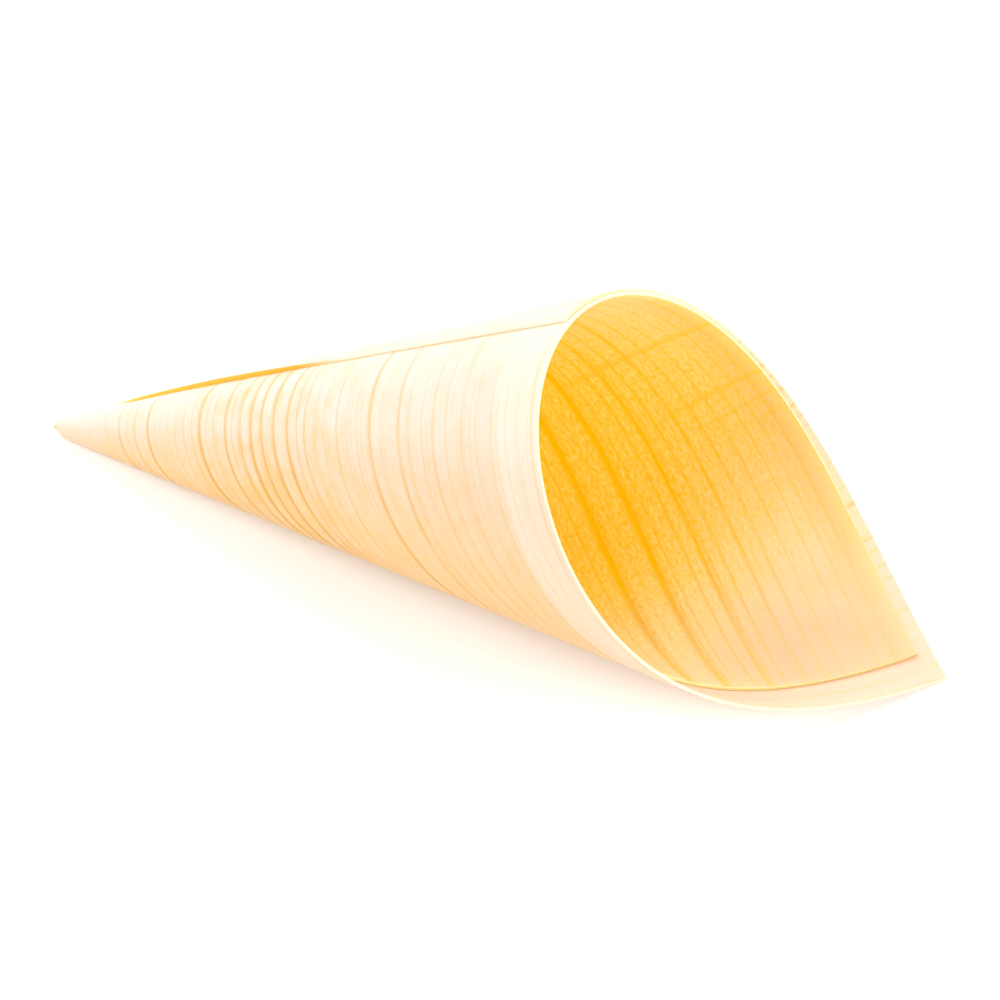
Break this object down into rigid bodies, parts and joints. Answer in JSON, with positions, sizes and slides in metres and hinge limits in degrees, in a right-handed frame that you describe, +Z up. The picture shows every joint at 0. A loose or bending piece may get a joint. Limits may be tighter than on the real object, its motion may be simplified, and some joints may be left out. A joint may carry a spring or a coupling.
{
  "type": "wooden food cone",
  "caption": "Disposable cone for serving food, rolled from one sheet of thin pale wood veneer, with a slanting mouth, a long pointed lip and an overlapping seam.",
  "frame": {"origin": "on the surface that the cone lies on, under the middle of its outline", "axes": "+X from the tip to the mouth along the side that the cone lies on, +Z up, +Y to the left of a viewer who looks along +X"},
  "size_m": [0.1806, 0.0702, 0.0641],
  "materials": {
    "veneer": "bare planed veneer, matte, with fine growth lines along the sheet"
  },
  "bodies": {
    "root": {"veneer_cone": "veneer"}
  },
  "joints": []
}
